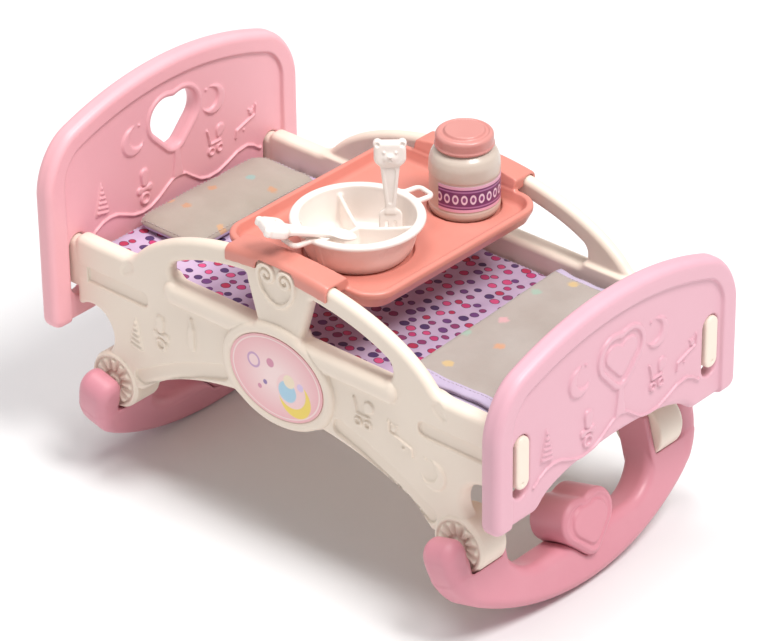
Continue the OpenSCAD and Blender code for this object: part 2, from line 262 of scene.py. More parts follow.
def lighter(obj, share):
    """Keeps that share of the triangles, dropping those where the surface is plain."""
    thin = obj.modifiers.new("thin", "DECIMATE")
    thin.ratio = share
    shown = bpy.data.meshes.new_from_object(evaluated(obj))
    obj.modifiers.clear()
    obj.data = shown
    smooth(shown)
    return obj


def stand_for(obj, node, body="root"):
    """The finished piece takes a CAD node's place."""
    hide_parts(node)
    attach(obj, body)
    return obj


def box_of(node):
    low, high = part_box(node)
    return np.array(low) / MM, np.array(high) / MM


def meet(a, b, r):
    """Inside both a and b, with a rounded edge where they meet."""
    a, b = a + r, b + r
    return np.minimum(np.maximum(a, b), 0) + np.hypot(np.maximum(a, 0), np.maximum(b, 0)) - r


def join(a, b, k):
    """Inside a or b, with a smooth fillet between them."""
    h = np.clip(0.5 + 0.5 * (b - a) / k, 0, 1)
    return b + (a - b) * h - k * h * (1 - h)


def rect(u, v, half_u, half_v, r):
    a, b = np.abs(u) - half_u + r, np.abs(v) - half_v + r
    return np.minimum(np.maximum(a, b), 0) + np.hypot(np.maximum(a, 0), np.maximum(b, 0)) - r


def oval(u, v, a, b):
    k = np.sqrt((u / a) ** 2 + (v / b) ** 2) + 1e-9
    return k * (k - 1) / (np.sqrt((u / a ** 2) ** 2 + (v / b ** 2) ** 2) + 1e-9)


def stroke(u, v, points):
    """Distance to a line through the points."""
    d = 1e3
    for (a, b), (c, e) in zip(points[:-1], points[1:]):
        du, dv = c - a, e - b
        t = np.clip(((u - a) * du + (v - b) * dv) / max(du * du + dv * dv, 1e-9), 0, 1)
        d = np.minimum(d, np.hypot(u - a - t * du, v - b - t * dv))
    return d


def taper(u, v, start, r_start, end, r_end):
    """Two circles and the straight sides between them."""
    du, dv = end[0] - start[0], end[1] - start[1]
    length = math.hypot(du, dv)
    along = ((u - start[0]) * du + (v - start[1]) * dv) / length
    across = np.abs((v - start[1]) * du - (u - start[0]) * dv) / length
    slant = (r_start - r_end) / length
    level = math.sqrt(1 - slant * slant)
    past = along * level - across * slant
    d = across * level + along * slant - r_start
    d = np.where(past < 0, np.hypot(across, along) - r_start, d)
    return np.where(past > level * length, np.hypot(across, along - length) - r_end, d)


def heart(u, v, width, height):
    """A plump heart, with its lobes' tops at v = 0 and its blunt tip at v = -height."""
    r, tip = 0.31 * width, 0.2 * width
    return taper(np.sqrt(u * u + 7), v, (width / 2 - r, -r), r, (0, tip - height), tip)


def step(d, height, width):
    """A raised area where d is negative, with soft sides of that width."""
    t = np.clip(0.5 - d / width, 0, 1)
    return height * t * t * (3 - 2 * t)


def stamp(u, v, at, reach, draw):
    """The height of a small raised picture round a point, and 0 on the rest of the face."""
    u, v = np.broadcast_arrays(u - at[0], v - at[1])
    height = np.zeros(u.shape)
    near = np.maximum(np.abs(u), np.abs(v)) < reach
    if near.any():
        height[near] = draw(u[near], v[near])
    return height


LINE_H = 2.1


def line_of(d, half, height=LINE_H):
    """A raised line, from the distance to its middle."""
    return step(d - half, height, 1.0)


def pile(*heights):
    return np.maximum.reduce(heights)


def striped_tree(u, v):
    cone = np.maximum(taper(u, v, (0, 14), 0.6, (0, -13), 7.5), -15 - v)
    stripes = 0.5 + 0.5 * np.sin((v + 0.25 * u) * 2 * math.pi / 4.6)
    return step(cone, 1.2, 1.2) + step(cone + 0.6, 1.5, 1.0) * stripes


def rattle(u, v):
    grip = taper(u, v, (0, 13), 4.6, (0, 5), 3.6)
    bow = np.minimum(taper(np.abs(u), v, (1, -1), 1.2, (6, -1.5), 3.2), np.hypot(u, v + 1) - 2)
    ring = np.abs(np.hypot(u, v + 10) - 4.6)
    return pile(step(grip, 2.2, 1.6), step(bow, 1.8, 1.2), line_of(ring, 1.2))


def crayon(u, v):
    body = taper(u, v, (0, 5), 3.4, (0, -11), 3.9)
    point = taper(u, v, (0, 15), 0.9, (0, 7), 2.6)
    return pile(step(body, 2.2, 1.6), step(point, 1.9, 1.2))


def pram(u, v):
    wheels = np.abs(np.hypot(np.abs(u - 0.5) - 5, v + 9) - 3.2)
    basket = stroke(u, v, [(-9, 12), (-7, 5), (-6, -2), (7, -2)])
    hood = np.maximum(taper(u, v, (4, 3), 1.5, (7, 8), 5.0), 1 - v)
    return pile(line_of(wheels, 0.9), line_of(basket, 0.9), step(hood, 1.8, 1.4))


def little_bed(u, v):
    frame_line = stroke(u, v, [(-13, -9), (-12, -2), (11, 5), (12, 14)])
    head = np.hypot(u - 6, v - 9) - 2.6
    ears = np.hypot(np.abs(u - 6) - 2.6, v - 12) - 1.1
    feet = np.hypot(u + 3, v + 5) - 1.2
    return pile(line_of(frame_line, 0.9), step(head, 1.8, 1.2), step(ears, 1.5, 0.9),
                step(feet, 1.5, 0.9))


def moon(u, v):
    crescent = np.maximum(np.hypot(u, v) - 13, 10.4 - np.hypot(u - 5.5, v - 3))
    star = np.hypot(u - 8, v - 12) - 1.2
    return pile(step(crescent, 2.2, 2.4), step(star, 1.6, 1.0))


def turned_left(draw):
    return lambda u, v: draw(-u, v)


HILLS = [(-103, 152), (-97, 157), (-88, 161.5), (-80, 163), (-71, 162), (-62, 158), (-52, 153.5),
         (-42, 151.8), (-32, 153), (-22, 157.5), (-12, 164), (-4, 168.5), (2, 169.5), (10, 168),
         (19, 161), (28, 154.5), (38, 151.8), (50, 152.5), (62, 156.5), (74, 161.5), (86, 163),
         (94, 159.5), (101, 154)]
PICTURE_REACH = 20
WINDOW_TOP, WINDOW = 288, (54, 47)


def board_picture(u, v, lift, has_window):
    """The raised hills, heart tree and small pictures of an end board."""
    low_v = v - lift
    hills = np.abs(low_v - np.interp(u, *zip(*HILLS)))
    hills = np.maximum(hills * 0.93, np.abs(u) - 103)
    trunk = np.maximum(np.abs(u - 1.5) - 3.2 - 0.004 * (low_v - 197) ** 2, np.abs(low_v - 183) - 13.5)
    raised = [line_of(hills, 1.1, 1.9), step(trunk, 1.9, 1.4)]
    if has_window:
        raised.append(step(np.abs(heart(u, v - WINDOW_TOP, *WINDOW) - 3.2) - 2.6, 1.9, 2.2))
    else:
        outline = heart(u - 2, low_v - 243, 54, 48)
        raised += [step(np.abs(outline) - 2.4, 2.2, 1.8), step(outline + 7.5, 1.7, 1.6)]
    for at, draw in (((-88, 184), striped_tree), ((-38, 174), rattle), ((47, 184), pram),
                     ((86, 184), little_bed), ((-49, 222), moon), ((47, 223), turned_left(moon))):
        raised.append(stamp(u, low_v, at, PICTURE_REACH, draw))
    return pile(*raised)


SLOT_Y, SLOT_Z = 117.0, 177.75


def board_field(low, high, lift, window):
    """An end board, with its raised border and picture on both faces."""
    middle, half_t = (low[0] + high[0]) / 2, (high[0] - low[0]) / 2
    top, bottom, half_w = high[2] + 0.4, low[2], high[1]

    def field(x, y, z):
        u = y
        arc = np.hypot(u, z - (top - 330)) - 330
        outline = meet(arc, np.abs(u) - half_w, 34)
        outline = meet(outline, bottom - z, 10)
        arch = -oval(u, z - bottom, 93, 24)
        outline = meet(outline, arch, 8)
        sunk = meet(arc + 18, np.abs(u) - 130, 19)
        face = half_t - 3.2 * step(sunk, 1.0, 3.0)
        face = face + board_picture(u, z, lift, window) * step(sunk + 5, 1.0, 3)
        thick = np.abs(x - middle) - face
        solid = meet(outline, thick, 6.5)
        hole = rect(np.abs(u) - SLOT_Y, z - SLOT_Z, 9.5, 28.2, 9.5)
        solid = np.maximum(solid, meet(-hole, thick, 2))
        if window:
            solid = np.maximum(solid, meet(-heart(u, z - WINDOW_TOP, *WINDOW), thick, 4.5))
        return solid

    return field


def satin_plastic(name, tone, deep, light, rough=0.42, coat=0.12):
    """Moulded plastic with slight flow clouds, a fine spark-eroded grain and softer high spots."""
    n = Nodes(name)
    cloud = n.ramp(n.noise(7.0, 3).outputs[0], 0.3, 0.7)
    flow = n.ramp(n.noise(28.0, 4, roughness=0.6).outputs[0], 0.35, 0.7)
    base = n.mix(n.math("MULTIPLY", cloud, 0.5), tone, deep)
    base = n.mix(n.math("MULTIPLY", flow, 0.25), base, light)
    grain = n.noise(1900.0, 2).outputs[0]
    ripple = n.noise(55.0, 2).outputs[0]
    normal = n.bump(ripple, 0.0006, 0.25)
    normal = n.bump(grain, 0.00006, 0.5, normal)
    return n.set(Base_Color=base, Roughness=n.ramp(flow, 0, 1, rough - 0.04, rough + 0.08),
                 Normal=normal, Coat_Weight=coat, Coat_Roughness=0.28, Specular_IOR_Level=0.45)


PINK = satin_plastic("pink_plastic", colour("deabb8"), colour("daa3b1"), colour("e3b5c1"))
# The rockers and heart blocks are in the boards' pink plastic. This deeper copy of it has painted shade:
# the darker look the rockers have under the light is painted into their colour.
ROCKER_PINK_PAINTED_SHADE = satin_plastic("rocker_pink_painted_shade", colour("d68f9c"), colour("d18593"), colour("dc9ba7"))
HEAD_PINK = satin_plastic("head_pink_plastic", colour("f2b2ba"), colour("eea9b2"), colour("f5bcc3"))
CREAM = satin_plastic("cream_plastic", colour("efe0d0"), colour("e9d8c7"), colour("f4e8db"))

BOARD_CELL = 1.05
KEPT_SHARE = 0.62
for node, lift, window, paint in (("headboard", 42.5, True, HEAD_PINK), ("footboard", 0.0, False, PINK)):
    low, high = box_of(node)
    made = skin(low, high, BOARD_CELL, board_field(low, high, lift, window))
    stand_for(lighter(piece(node + "_shell", *made, paint), KEPT_SHARE), node)


# ---- Side panels ----
# Each side is one blow-moulded cream panel: an arched rail over two openings, a thick ledge, a
# big oval rim for the badge, a swirled heart on the post, raised nursery pictures, and two
# round feet with a rosette that sit in the rockers. Tongues at its ends reach into the boards.
FOOT_X, FOOT_Z, FOOT_R = 188.0, 86.7, 25.6
FACE_Y, INNER_Y = 125.0, 109.0
RAIL_A, RAIL_B = 172.0, 83.0
RAIL_Z = box_of("side_panel_right")[1][2] - RAIL_B
TOP_Z = 209.5
BADGE_Z, BADGE, RIM = 165, (50, 37), (59.5, 46.5)


def swirl():
    """One arm of the swirled heart, from its eye out over the top and down to the tip."""
    arm = []
    for i in range(37):
        turn = math.radians(540 - 15 * i)
        r = 1.4 + 0.225 * i
        arm.append((9.8 + r * math.cos(turn), 255.5 + r * math.sin(turn)))
    return arm + [(19.2, 251), (18, 245), (14.8, 239), (10, 234), (5, 231), (0, 229.8)]


SWIRL, SWIRL_Z = swirl(), 246


def swirl_arm(side, v):
    return 3.0 * np.sqrt(np.clip(1 - (stroke(side, v + SWIRL_Z, SWIRL) / 2.1) ** 2, 0, 1))


def rosette(u, v):
    """Rays round a button inside a raised ring."""
    r = np.hypot(u, v)
    turn = np.arctan2(v, u)
    ray = 0.5 + 0.5 * np.cos(12 * turn)
    ring = step(np.abs(r - 22.6) - 1.5, 1.8, 1.4)
    leaves = 2.8 * ray * step(np.abs(r - 14.2) - 5.2, 1.0, 2.2)
    button = step(r - 5.2, 2.4, 2.2)
    return ring + leaves + button


def panel_relief(u, v, side):
    """Height above the outer face. side is |u|."""
    ledge = 5.0 * np.sqrt(np.clip(1 - (stroke(side, v, [(0, 197.5), (116, 197.5)]) / 9.6) ** 2, 0, 1))
    rim = oval(u, v - BADGE_Z, *RIM)
    pocket = oval(u, v - BADGE_Z, *BADGE)
    ring = np.sqrt(np.maximum(1 - ((rim + 4.75) / 5.6) ** 2, 0)) * 5.0
    ring = np.where(rim < 1.0, ring, 0)
    height = np.maximum(ledge * step(-rim - 1, 1.0, 3), ring)
    height = np.where(pocket < 0, 2.4, height)
    band = stroke(side, v, [(64, 143), (90, 134.5), (120, 121.5), (157, 101)])
    height = height - step(band - 7.2, 2.8, 1.0) * step(-rim + 3, 1.0, 3)
    end_pocket = rect(side - 192, v - 177.5, 46, 6.8, 6.0)
    height = height - step(end_pocket, 2.7, 1.2)
    dent = taper(side, v, (166, 202), 5.0, (172, 196), 3.0)
    height = height - step(dent, 1.2, 3.5)
    for at, draw in (((-160, 143), striped_tree), ((-131, 153), rattle), ((-96, 166), crayon),
                     ((89, 167), pram), ((128, 157), turned_left(little_bed)),
                     ((162, 140), turned_left(moon))):
        height = height + stamp(u, v, at, PICTURE_REACH, draw)
    return height + stamp(side, v, (0, SWIRL_Z), 26, swirl_arm)


def panel_field(x, y, z):
    u, v = x, z
    side = np.abs(u)
    outline = meet(v - TOP_Z, side - 229, 7)
    rail = oval(u, v - RAIL_Z, RAIL_A, RAIL_B)
    outline = join(outline, np.maximum(rail, 195 - v), 9)
    outline = np.maximum(outline, FOOT_Z - v)
    arch = -oval(u, v - 56, 172, 78)
    outline = np.maximum(outline, arch)
    outline = meet(outline, np.minimum(side - 199, 144 - v), 4)
    outline = np.maximum(outline, 22.5 - np.hypot(side - 212, v - 126))
    outline = join(outline, oval(u, v - BADGE_Z, *RIM), 3)
    height = panel_relief(u, v, side)
    inner = INNER_Y + step(TOP_Z + 1 - v, 4.0, 4)
    thick = np.maximum(y - FACE_Y - height, inner - y)
    solid = meet(outline, thick, 5.6)
    post = 23 + np.clip((v - 206) * 0.3, 0, 11) - side
    gap = meet(meet(206 - v, side - 119, 8), oval(u, v - (RAIL_Z + 3), 145, 62), 4)
    gap = meet(gap, post, 4)
    solid = np.maximum(solid, meet(-gap, thick, 4.8))
    foot = np.hypot(side - FOOT_X, v - FOOT_Z) - FOOT_R
    mark = stamp(side, v, (FOOT_X, FOOT_Z), 27, rosette)
    puck = meet(foot, np.maximum(y - FACE_Y - mark, 97 - y), 2)
    solid = np.minimum(solid, puck)
    tongue = np.maximum(rect(y - 117, v - 182, 7.5, 23.5, 7.5), 215 - side)
    tongue = meet(tongue, side - 246, 2)
    dimple = np.sqrt((side - 246.5) ** 2 + (y - 118) ** 2 + (v - 164) ** 2) - 1.8
    solid = np.minimum(solid, np.maximum(tongue, -dimple))
    shelf = np.maximum(rect(y - 105.5, v - 170.5, 4.5, 3, 1), side - 200)
    return np.minimum(solid, shelf)


panel_vertices, panel_faces = skin((-247, 97, 60), (247, 132, 268), 1.1, panel_field)
for node, sign in (("side_panel_right", 1), ("side_panel_left", -1)):
    faces = panel_faces if sign > 0 else panel_faces[:, ::-1]
    shell = piece(node + "_shell", panel_vertices * (1, sign, 1), faces, CREAM)
    stand_for(lighter(shell, KEPT_SHARE), node)


# ---- Rockers and heart blocks ----
# Each end stands on a solid-looking pink rocker that leans outward by 15 degrees. Its hooked
# ends hold the panels' round feet. A separate heart-shaped block drops into its middle, with a
# fine joint line round it and a smaller raised heart on its outer face.
SPLAY = math.radians(15)
RUN_R, RUN_DROP, FLANK_R, HOOK_R, END_Y = 250.0, 87.6, 60.0, 14.3, 155.5
HALF_T, EDGE_R = 16.0, 9.0
BLOCK_TOP, BLOCK_FACE, BLOCK = -11.5, 24.0, (62, 53)


def rocker_field(p, y, w):
    """p is through the thickness, y across the bed and w up, all from the feet's axis."""
    across = np.abs(y)
    centre = RUN_R - RUN_DROP
    flank_y = END_Y - FLANK_R
    flank_w = centre - math.sqrt((RUN_R - FLANK_R) ** 2 - flank_y ** 2)
    run = np.hypot(across, w - centre) - RUN_R
    flank = np.hypot(across - flank_y, w - flank_w) - FLANK_R
    past = across * (centre - flank_w) - (centre - w) * flank_y
    outline = np.where(past > 0, flank, run)
    outline = np.maximum(outline, w - flank_w)
    hook = np.hypot(across - (END_Y - HOOK_R), w - flank_w) - HOOK_R
    outline = join(outline, hook, 1.0)
    crescent = rect(y, w - 27, 91, 73, 36)
    outline = np.maximum(outline, -crescent)
    solid = meet(outline, np.abs(p) - HALF_T, EDGE_R)
    inner_wall = meet(rect(across - 93.9, w + 13, 2.9, 27, 1.4), np.abs(p) - HALF_T, 1.4)
    solid = np.minimum(solid, inner_wall)
    finger = meet(meet(outline, np.abs(p) - HALF_T, EDGE_R), 126.5 - across, 12)
    seat = np.where(w > 0, np.abs(p) - 50, np.hypot(p, w) - FOOT_R - 0.3)
    notch = np.maximum(seat, 96.8 - across)
    solid = join(np.maximum(solid, -notch), finger, 2.5)
    return np.maximum(solid, -(heart(y, w - BLOCK_TOP, *BLOCK) - 0.5))


def block_field(p, y, w):
    """The heart block: a low rim round its face and a smaller raised heart inside it."""
    outline = heart(y, w - BLOCK_TOP, *BLOCK)
    inner = heart(y, w + 19.5, 41, 35)
    rim = step(np.abs(outline + 4.2) - 1.4, 0.9, 1.6)
    top = BLOCK_FACE - 2.2 + rim + step(inner, 2.2, 2.0)
    return meet(outline, np.maximum(p - top, -HALF_T - p), 3.2)


def leaned(vertices, faces, end):
    """Turns a mesh from the rocker's own plane into its place at the foot (1) or the head (-1)."""
    p, y, w = vertices.T
    x = FOOT_X + p * math.cos(SPLAY) - w * math.sin(SPLAY)
    z = FOOT_Z + p * math.sin(SPLAY) + w * math.cos(SPLAY)
    return np.stack([x * end, y, z], 1), (faces if end > 0 else faces[:, ::-1])


rocker = skin((-16, -156, -88), (16, 156, 16), 1.6, rocker_field)
block = skin((-16, -31, -66), (24, 31, -10), 1.1, block_field)
for name, end in (("foot", 1), ("head", -1)):
    for part, made in (("rocker_", rocker), ("heart_block_", block)):
        shell = piece(part + name + "_shell", *leaned(*made, end), ROCKER_PINK_PAINTED_SHADE)
        stand_for(shell, part + name)


# ---- Badges ----
# A thin printed sticker fills each oval rim. Its print is only plain shapes: a paler middle,
# a darker edge line, and a crescent beside two soft round spots.
def badge_print():
    n = Nodes("badge_print")
    x, _, z = n.split(n.place)
    z = n.math("SUBTRACT", z, BADGE_Z * MM)
    far = n.length(n.math("DIVIDE", x, BADGE[0] * MM), n.math("DIVIDE", z, BADGE[1] * MM))
    base = n.mix(n.ramp(far, 0.2, 0.95), colour("f9dcda"), colour("f0b4b9"))
    line = n.math("SUBTRACT", 1.0, n.ramp(n.math("ABSOLUTE", n.math("SUBTRACT", far, 0.93)), 0.008, 0.02))
    base = n.mix(line, base, colour("f7d9d6"))
    for at_x, at_z, r, tone, soft in (
            (20, -12, 17, "f3d552", 0.6), (16, -6, 15.5, "f6cfcf", 0.6), (12, -8, 9.5, "a8cfe4", 0.6),
            (14, 2, 6, "f3e0c4", 0.6), (26, 1, 3.4, "d9c3e6", 0.6), (-24, 8, 7, "c79ac0", 0.4),
            (-24, 8, 5, "f6d3d3", 0.4), (-6, 12, 4, "d58aa4", 0.4), (-12, -8, 2.2, "8e6fa8", 0.4),
            (-18, -14, 2.2, "d58aa4", 0.4)):
        off = n.length(n.math("SUBTRACT", x, at_x * MM), n.math("SUBTRACT", z, at_z * MM))
        base = n.mix(n.ramp(off, (r - soft) * MM, (r + soft) * MM, 1.0, 0.0), base, colour(tone))
    grain = n.bump(n.noise(900.0, 2).outputs[0], 0.00003, 0.4)
    return n.set(Base_Color=base, Roughness=0.3, Coat_Weight=0.5, Coat_Roughness=0.12, Normal=grain)


def paint_node(node, material):
    """Gives a carried-over CAD node its material."""
    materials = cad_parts[node].data.materials
    materials.clear()
    materials.append(material)


for node in ("badge_left", "badge_right"):
    paint_node(node, badge_print())


# ---- Plate under the mattress ----
# A thin flat plate in the same cream plastic as the panels. It rests on the shelves inside the
# two side panels and carries the mattress.
paint_node("bed_base", CREAM)


# ---- Mattress ----
# A thin flat pad in lilac cloth, printed all over with small slanted spots in magenta, crimson
# and plum. It is sewn round its edge and lies loose on the plate.
def weave(n, scale, distance, normal=None):
    """Crossed threads of plain woven cloth."""
    a, b = (n.math("SINE", n.math("MULTIPLY", side, scale)) for side in n.split(n.place)[:2])
    fuzz = n.noise(1400.0, 3).outputs[0]
    height = n.math("ADD", n.math("MULTIPLY", n.math("MULTIPLY", a, b), 0.5), fuzz)
    return n.bump(height, distance, 0.7, normal)


def prints(n, place, wobble, wobble_detail, reach, scale, randomness, marks):
    """Flat printed cells with uneven edges: the distance to each middle, a chance, the colour."""
    shift = n.add("ShaderNodeVectorMath", operation="SCALE")
    n.link(n.noise(wobble, wobble_detail).outputs["Color"], shift.inputs[0])
    shift.inputs["Scale"].default_value = reach
    cells = n.add("ShaderNodeTexVoronoi", feature="F1", voronoi_dimensions="2D")
    n.link(n.vector("ADD", place, shift.outputs[0]), cells.inputs["Vector"])
    cells.inputs["Scale"].default_value = scale
    cells.inputs["Randomness"].default_value = randomness
    pick = n.add("ShaderNodeSeparateColor")
    n.link(cells.outputs["Color"], pick.inputs[0])
    tones = n.add("ShaderNodeValToRGB")
    n.link(pick.outputs[0], tones.inputs[0])
    tones.color_ramp.interpolation = "CONSTANT"
    while len(tones.color_ramp.elements) < len(marks):
        tones.color_ramp.elements.new(0.5)
    for i, code in enumerate(marks):
        tones.color_ramp.elements[i].position = i / len(marks)
        tones.color_ramp.elements[i].color = colour(code)
    return cells.outputs["Distance"], pick.outputs[1], tones.outputs[0]


def spotted_cloth():
    n = Nodes("spotted_cloth")
    slanted = n.add("ShaderNodeMapping", vector_type="POINT")
    n.link(n.place, slanted.inputs["Vector"])
    slanted.inputs["Rotation"].default_value = (0, 0, math.radians(24))
    slanted.inputs["Scale"].default_value = (1.0, 1.12, 0.0)
    off, chance, tone = prints(n, slanted.outputs[0], 130.0, 1, 0.0018, 80.0, 0.5,
                               ("c2366f", "8e3568", "d24a7c", "6b3a78", "b52c52", "4b2f63"))
    size = n.ramp(chance, 0, 1, 0.27, 0.37)
    ground = n.mix(n.ramp(n.noise(60.0, 3).outputs[0], 0.3, 0.7), colour("c8b2cc"), colour("bda4c2"))
    inside = n.math("SUBTRACT", size, off)
    base = n.mix(n.ramp(inside, -0.012, 0.012), ground, colour("4a2350"))
    base = n.mix(n.ramp(inside, 0.035, 0.07), base, tone)
    return n.set(Base_Color=base, Roughness=0.85, Sheen_Weight=0.25, Sheen_Roughness=0.5,
                 Specular_IOR_Level=0.25, Normal=weave(n, 9000.0, 0.00008))


def soft_noise(u, v, waves):
    """Slow, gentle hollows in cloth, from a few crossed waves."""
    total = 0
    for i, (a, b, shift) in enumerate(waves):
        total = total + np.sin(a * u + b * v + shift) / (1 + 0.5 * i)
    return total


def pad(low, high, cell, corner, crown, pinch, seam_share=0.42, under_pinch=5.0):
    """A closed sewn pad between two corners: crowned above, flat below, pinched at its seam.
    Returns its vertices, its faces, how many of them are on top, and the line of its stitches."""
    nu = int((high[0] - low[0]) / cell)
    nv = int((high[1] - low[1]) / cell)
    s, t = np.meshgrid(np.linspace(-1, 1, nu), np.linspace(-1, 1, nv), indexing="ij")
    half = (np.array(high) - np.array(low)) / 2
    centre = (np.array(high) + np.array(low)) / 2
    near = np.minimum((1 - np.abs(s)) * half[0], (1 - np.abs(t)) * half[1])
    both = np.hypot(np.maximum(corner - (1 - np.abs(s)) * half[0], 0),
                    np.maximum(corner - (1 - np.abs(t)) * half[1], 0))
    near = np.where((1 - np.abs(s)) * half[0] < corner, np.where((1 - np.abs(t)) * half[1] < corner,
                    np.maximum(corner - both, 0), near), near)
    shrink = np.where(both > corner, corner / np.maximum(both, 1e-9), 1)
    x = centre[0] + s * half[0]
    y = centre[1] + t * half[1]
    inner_x = centre[0] + np.sign(s) * (half[0] - corner)
    inner_y = centre[1] + np.sign(t) * (half[1] - corner)
    x = np.where(both > corner, inner_x + (x - inner_x) * shrink, x)
    y = np.where(both > corner, inner_y + (y - inner_y) * shrink, y)
    rise, sink = (np.sqrt(np.clip(1 - (1 - np.clip(near / r, 0, 1)) ** 2, 0, 1))
                  for r in (pinch, under_pinch))
    waves = ((0.05, 0.02, 0.4), (0.021, -0.06, 1.9), (-0.09, 0.04, 2.6), (0.14, 0.11, 0.7))
    ripple = soft_noise(x, y, waves)
    seam = low[2] + (high[2] - low[2]) * seam_share
    top = seam + (high[2] - seam - crown * 0.4) * rise + ripple * 0.25 * crown * rise
    bottom = seam - (seam - low[2]) * sink
    upper = np.stack([x, y, top], 2).reshape(-1, 3)
    lower = np.stack([x, y, bottom], 2).reshape(-1, 3)
    index = np.arange(nu * nv).reshape(nu, nv)
    rim = np.zeros((nu, nv), bool)
    rim[0], rim[-1], rim[:, 0], rim[:, -1] = True, True, True, True
    under = np.where(rim, index, index + nu * nv)
    above, below = (np.stack([g[:-1, :-1], g[1:, :-1], g[1:, 1:], g[:-1, 1:]], 2).reshape(-1, 4)
                    for g in (index, under))
    faces = np.concatenate([above, below[:, ::-1]])
    inner = index[1:-1, 1:-1]
    loop = np.concatenate([inner[0], inner[1:, -1], inner[-1, -2::-1], inner[-2:0:-1, 0]])
    keep, faces = np.unique(faces.ravel(), return_inverse=True)
    vertices = np.concatenate([upper, lower])[keep]
    return vertices, faces.reshape(-1, 4), len(above), np.searchsorted(keep, loop)


low, high = box_of("mattress")
vertices, faces, _, loop = pad(low, high, 2.6, 10, 1.2, 5)
mattress = piece("mattress_pad", vertices, faces, spotted_cloth())
stand_for(mattress, "mattress", "mattress")


def stitch_tree():
    """Lays short thread stitches at an even pitch along a seam line."""
    tree = bpy.data.node_groups.new("stitch_row", "GeometryNodeTree")
    panel = tree.interface
    panel.new_socket("Seam", in_out="INPUT", socket_type="NodeSocketGeometry")
    for label in ("Pitch", "Length", "Radius"):
        panel.new_socket(label, in_out="INPUT", socket_type="NodeSocketFloat")
    panel.new_socket("Thread", in_out="INPUT", socket_type="NodeSocketMaterial")
    panel.new_socket("Stitches", in_out="OUTPUT", socket_type="NodeSocketGeometry")
    entry, leave, curve, even, thread, copies, turn, solid, coat = (tree.nodes.new(kind) for kind in (
        "NodeGroupInput", "NodeGroupOutput", "GeometryNodeMeshToCurve", "GeometryNodeResampleCurve",
        "GeometryNodeMeshCylinder", "GeometryNodeInstanceOnPoints", "FunctionNodeAlignRotationToVector",
        "GeometryNodeRealizeInstances", "GeometryNodeSetMaterial"))
    even.mode = "LENGTH"
    thread.inputs["Vertices"].default_value = 6
    turn.axis = "Z"
    tangent = tree.nodes.new("GeometryNodeInputTangent")
    for source, out, target, into in (
            (entry, "Seam", curve, "Mesh"), (curve, "Curve", even, "Curve"),
            (entry, "Pitch", even, "Length"), (entry, "Radius", thread, "Radius"),
            (entry, "Length", thread, "Depth"), (even, "Curve", copies, "Points"),
            (thread, "Mesh", copies, "Instance"), (tangent, 0, turn, "Vector"),
            (turn, 0, copies, "Rotation"), (copies, 0, solid, 0), (solid, 0, coat, "Geometry"),
            (entry, "Thread", coat, "Material"), (coat, 0, leave, 0)):
        tree.links.new(source.outputs[out], target.inputs[into])
    return tree


STITCHES = stitch_tree()
STITCH_PITCH, STITCH_LENGTH = 4.2, 2.6


def stitched(name, points, closed, tone, body, radius=0.32):
    """A row of stitches along the points, in mm, that rides with the cloth."""
    count = len(points)
    edges = [(i, (i + 1) % count) for i in range(count if closed else count - 1)]
    line = bpy.data.meshes.new(name + "_line")
    line.from_pydata((np.asarray(points) * MM).tolist(), edges, [])
    seam = bpy.data.objects.new(name + "_line", line)
    scene.collection.objects.link(seam)
    n = Nodes(name + "_thread")
    twist = n.bump(n.noise(2600.0, 2).outputs[0], 0.00008, 0.6)
    fibre = n.ramp(n.noise(420.0, 2).outputs[0], 0.3, 0.7)
    cotton = n.set(Base_Color=n.mix(fibre, colour(tone), colour("cfc5c4")), Roughness=0.8,
                   Normal=twist)
    rows = seam.modifiers.new("stitches", "NODES")
    rows.node_group = STITCHES
    values = {"Pitch": STITCH_PITCH * MM, "Length": STITCH_LENGTH * MM, "Radius": radius * MM,
              "Thread": cotton}
    for item in STITCHES.interface.items_tree:
        if item.name in values:
            rows[item.identifier] = values[item.name]
    made = bpy.data.meshes.new_from_object(evaluated(seam))
    bpy.data.objects.remove(seam)
    smooth(made)
    obj = bpy.data.objects.new(name, made)
    scene.collection.objects.link(obj)
    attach(obj, body)
    return obj


stitched("mattress_stitches", vertices[loop] + (0, 0, 0.1), True, "b79fbf", "mattress")


# ---- Pillow ----
# A small filled pillow in beige cloth with a sparse little print and a lilac back. It swells
# towards its middle and is sewn round its edge with a row of stitches.
def printed_cloth(name, tone, deep, marks, spacing, share, seed):
    n = Nodes(name)
    moved = n.vector("ADD", n.place, (seed, seed * 0.7, 0))
    off, chance, tint = prints(n, moved, 260.0, 2, 0.006, 1 / (spacing * MM), 0.8, marks)
    cloud = n.ramp(n.noise(24.0, 4).outputs[0], 0.3, 0.7)
    ground = n.mix(cloud, tone, deep)
    shown = n.math("MULTIPLY", n.ramp(off, share - 0.02, share + 0.05, 1.0, 0.0),
                   n.math("GREATER_THAN", chance, 0.5))
    base = n.mix(n.math("MULTIPLY", shown, 0.6), ground, tint)
    creases = n.bump(n.noise(70.0, 3).outputs[0], 0.0012, 0.35)
    return n.set(Base_Color=base, Roughness=0.88, Sheen_Weight=0.3, Sheen_Roughness=0.5,
                 Specular_IOR_Level=0.25, Normal=weave(n, 7500.0, 0.0001, creases))


